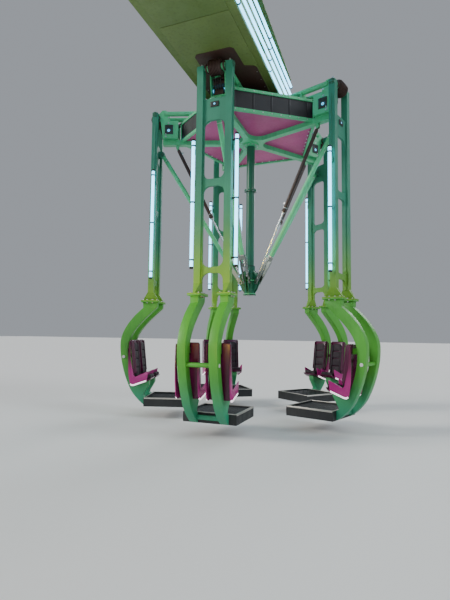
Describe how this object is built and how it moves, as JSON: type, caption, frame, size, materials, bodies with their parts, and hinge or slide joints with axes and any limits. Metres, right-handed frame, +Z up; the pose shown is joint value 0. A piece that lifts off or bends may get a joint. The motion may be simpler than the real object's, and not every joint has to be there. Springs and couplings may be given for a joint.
{
  "type": "overhanging spinning swing ride",
  "caption": "Cantilevered box jib on a pedestal with a spinning head beneath it, from which arms carrying two-seat gondolas swing outward on an umbrella linkage.",
  "frame": {"origin": "centre of the base flange's underside, on the pedestal's axis", "axes": "+Z up along the pedestal, +Y along the jib towards the spinning head, +X to the right of the jib seen from the pedestal; arm_1 hangs on the pedestal's side of the head and the others follow anticlockwise seen from above"},
  "size_m": [5.7288, 21.0785, 9.1],
  "materials": {
    "graphite_paint": "satin dark grey-green paint",
    "jib_olive": "satin olive-green paint, slightly weathered",
    "head_mint": "gloss mint-green paint",
    "post_green": "gloss blue-green paint",
    "claw_lime": "gloss lime-green paint",
    "fascia_black": "satin near-black paint",
    "soffit_pink": "satin magenta paint",
    "seat_magenta": "glossy moulded magenta shells",
    "floor_dark": "dark tread plate",
    "drum_brown": "dark red-brown paint",
    "cylinder_brown": "dark brown paint",
    "rod_steel": "polished steel rod",
    "gear_grey": "satin grey paint, a little oily",
    "light_tube": "lit white-blue diffuser"
  },
  "bodies": {
    "base": {"base_flange": "graphite_paint", "pedestal": "graphite_paint", "slewing_ring": "gear_grey"},
    "jib": {"jib_box": "jib_olive", "jib_turret": "gear_grey", "jib_counterweight": "gear_grey", "sign_strips": "light_tube", "head_bearing": "gear_grey", "head_drives": "gear_grey"},
    "head": {"hub_drum": "drum_brown", "deck_plate": "floor_dark", "deck_rails": "head_mint", "deck_fascia": "fascia_black", "soffit_panels": "soffit_pink", "spider_beams": "head_mint", "outriggers": "head_mint", "column": "post_green"},
    "runner": {"runner": "post_green"},
    "arm_1": {"arm_1_frame": "post_green", "arm_1_claws": "claw_lime", "arm_1_seats": "seat_magenta", "arm_1_floor": "floor_dark", "arm_1_lights": "light_tube"},
    "strut_1": {"strut_1": "head_mint"},
    "lift_barrel_1": {"lift_barrel_1": "cylinder_brown"},
    "lift_rod_1": {"lift_rod_1": "rod_steel"},
    "arm_2": {"arm_2_frame": "post_green", "arm_2_claws": "claw_lime", "arm_2_seats": "seat_magenta", "arm_2_floor": "floor_dark", "arm_2_lights": "light_tube"},
    "strut_2": {"strut_2": "head_mint"},
    "lift_barrel_2": {"lift_barrel_2": "cylinder_brown"},
    "lift_rod_2": {"lift_rod_2": "rod_steel"},
    "arm_3": {"arm_3_frame": "post_green", "arm_3_claws": "claw_lime", "arm_3_seats": "seat_magenta", "arm_3_floor": "floor_dark", "arm_3_lights": "light_tube"},
    "strut_3": {"strut_3": "head_mint"},
    "lift_barrel_3": {"lift_barrel_3": "cylinder_brown"},
    "lift_rod_3": {"lift_rod_3": "rod_steel"},
    "arm_4": {"arm_4_frame": "post_green", "arm_4_claws": "claw_lime", "arm_4_seats": "seat_magenta", "arm_4_floor": "floor_dark", "arm_4_lights": "light_tube"},
    "strut_4": {"strut_4": "head_mint"},
    "lift_barrel_4": {"lift_barrel_4": "cylinder_brown"},
    "lift_rod_4": {"lift_rod_4": "rod_steel"},
    "arm_5": {"arm_5_frame": "post_green", "arm_5_claws": "claw_lime", "arm_5_seats": "seat_magenta", "arm_5_floor": "floor_dark", "arm_5_lights": "light_tube"},
    "strut_5": {"strut_5": "head_mint"},
    "lift_barrel_5": {"lift_barrel_5": "cylinder_brown"},
    "lift_rod_5": {"lift_rod_5": "rod_steel"}
  },
  "joints": [
    {"name": "jib_slew", "type": "hinge", "parent": "base", "child": "jib", "pos_m": [0, 0, 6.755], "axis": [0, 0, 1], "range_deg": [0, 90]},
    {"name": "head_spin", "type": "hinge", "parent": "jib", "child": "head", "pos_m": [0, 15, 7.155], "axis": [0, 0, 1], "continuous": true},
    {"name": "runner_slide", "type": "slide", "parent": "head", "child": "runner", "axis": [0, 0, 1], "range_m": [0, 1.182]},
    {"name": "arm_1_tilt", "type": "hinge", "parent": "head", "child": "arm_1", "pos_m": [0, 12.76, 6.955], "axis": [-1, 0, 0], "range_deg": [0, 70]},
    {"name": "strut_1_swing", "type": "hinge", "parent": "arm_1", "child": "strut_1", "pos_m": [0, 12.89, 6.12], "axis": [1, 0, 0], "range_deg": [0, 88.45]},
    {"name": "lift_barrel_1_swing", "type": "hinge", "parent": "head", "child": "lift_barrel_1", "pos_m": [0, 13.25, 6.28], "axis": [1, 0, 0], "range_deg": [0, 12.54]},
    {"name": "lift_rod_1_stroke", "type": "slide", "parent": "lift_barrel_1", "child": "lift_rod_1", "axis": [0, -0.4461, 0.895], "range_m": [0, 1.0007]},
    {"name": "arm_2_tilt", "type": "hinge", "parent": "head", "child": "arm_2", "pos_m": [2.13037, 14.3078, 6.955], "axis": [-0.309, -0.9511, 0], "range_deg": [0, 70]},
    {"name": "strut_2_swing", "type": "hinge", "parent": "arm_2", "child": "strut_2", "pos_m": [2.00673, 14.34797, 6.12], "axis": [0.309, 0.9511, 0], "range_deg": [0, 88.45]},
    {"name": "lift_barrel_2_swing", "type": "hinge", "parent": "head", "child": "lift_barrel_2", "pos_m": [1.66435, 14.45922, 6.28], "axis": [0.309, 0.9511, 0], "range_deg": [0, 12.54]},
    {"name": "lift_rod_2_stroke", "type": "slide", "parent": "lift_barrel_2", "child": "lift_rod_2", "axis": [0.4242, -0.1378, 0.895], "range_m": [0, 1.0007]},
    {"name": "arm_3_tilt", "type": "hinge", "parent": "head", "child": "arm_3", "pos_m": [1.31664, 16.8122, 6.955], "axis": [0.809, -0.5878, 0], "range_deg": [0, 70]},
    {"name": "strut_3_swing", "type": "hinge", "parent": "arm_3", "child": "strut_3", "pos_m": [1.24023, 16.70703, 6.12], "axis": [-0.809, 0.5878, 0], "range_deg": [0, 88.45]},
    {"name": "lift_barrel_3_swing", "type": "hinge", "parent": "head", "child": "lift_barrel_3", "pos_m": [1.02862, 16.41578, 6.28], "axis": [-0.809, 0.5878, 0], "range_deg": [0, 12.54]},
    {"name": "lift_rod_3_stroke", "type": "slide", "parent": "lift_barrel_3", "child": "lift_rod_3", "axis": [0.2622, 0.3609, 0.895], "range_m": [0, 1.0007]},
    {"name": "arm_4_tilt", "type": "hinge", "parent": "head", "child": "arm_4", "pos_m": [-1.31664, 16.8122, 6.955], "axis": [0.809, 0.5878, 0], "range_deg": [0, 70]},
    {"name": "strut_4_swing", "type": "hinge", "parent": "arm_4", "child": "strut_4", "pos_m": [-1.24023, 16.70703, 6.12], "axis": [-0.809, -0.5878, 0], "range_deg": [0, 88.45]},
    {"name": "lift_barrel_4_swing", "type": "hinge", "parent": "head", "child": "lift_barrel_4", "pos_m": [-1.02862, 16.41578, 6.28], "axis": [-0.809, -0.5878, 0], "range_deg": [0, 12.54]},
    {"name": "lift_rod_4_stroke", "type": "slide", "parent": "lift_barrel_4", "child": "lift_rod_4", "axis": [-0.2622, 0.3609, 0.895], "range_m": [0, 1.0007]},
    {"name": "arm_5_tilt", "type": "hinge", "parent": "head", "child": "arm_5", "pos_m": [-2.13037, 14.3078, 6.955], "axis": [-0.309, 0.9511, 0], "range_deg": [0, 70]},
    {"name": "strut_5_swing", "type": "hinge", "parent": "arm_5", "child": "strut_5", "pos_m": [-2.00673, 14.34797, 6.12], "axis": [0.309, -0.9511, 0], "range_deg": [0, 88.45]},
    {"name": "lift_barrel_5_swing", "type": "hinge", "parent": "head", "child": "lift_barrel_5", "pos_m": [-1.66435, 14.45922, 6.28], "axis": [0.309, -0.9511, 0], "range_deg": [0, 12.54]},
    {"name": "lift_rod_5_stroke", "type": "slide", "parent": "lift_barrel_5", "child": "lift_rod_5", "axis": [-0.4242, -0.1378, 0.895], "range_m": [0, 1.0007]}
  ],
  "couplings": [
    {"joint": "runner_slide", "follows": "arm_1_tilt", "m_per_rad": 0.96584},
    {"joint": "strut_1_swing", "follows": "arm_1_tilt", "ratio": 1.2622},
    {"joint": "lift_barrel_1_swing", "follows": "arm_1_tilt", "ratio": 0.17777},
    {"joint": "lift_rod_1_stroke", "follows": "arm_1_tilt", "m_per_rad": 0.81746},
    {"joint": "arm_2_tilt", "follows": "arm_1_tilt", "ratio": 1},
    {"joint": "strut_2_swing", "follows": "arm_1_tilt", "ratio": 1.2622},
    {"joint": "lift_barrel_2_swing", "follows": "arm_1_tilt", "ratio": 0.17777},
    {"joint": "lift_rod_2_stroke", "follows": "arm_1_tilt", "m_per_rad": 0.81746},
    {"joint": "arm_3_tilt", "follows": "arm_1_tilt", "ratio": 1},
    {"joint": "strut_3_swing", "follows": "arm_1_tilt", "ratio": 1.2622},
    {"joint": "lift_barrel_3_swing", "follows": "arm_1_tilt", "ratio": 0.17777},
    {"joint": "lift_rod_3_stroke", "follows": "arm_1_tilt", "m_per_rad": 0.81746},
    {"joint": "arm_4_tilt", "follows": "arm_1_tilt", "ratio": 1},
    {"joint": "strut_4_swing", "follows": "arm_1_tilt", "ratio": 1.2622},
    {"joint": "lift_barrel_4_swing", "follows": "arm_1_tilt", "ratio": 0.17777},
    {"joint": "lift_rod_4_stroke", "follows": "arm_1_tilt", "m_per_rad": 0.81746},
    {"joint": "arm_5_tilt", "follows": "arm_1_tilt", "ratio": 1},
    {"joint": "strut_5_swing", "follows": "arm_1_tilt", "ratio": 1.2622},
    {"joint": "lift_barrel_5_swing", "follows": "arm_1_tilt", "ratio": 0.17777},
    {"joint": "lift_rod_5_stroke", "follows": "arm_1_tilt", "m_per_rad": 0.81746}
  ]
}
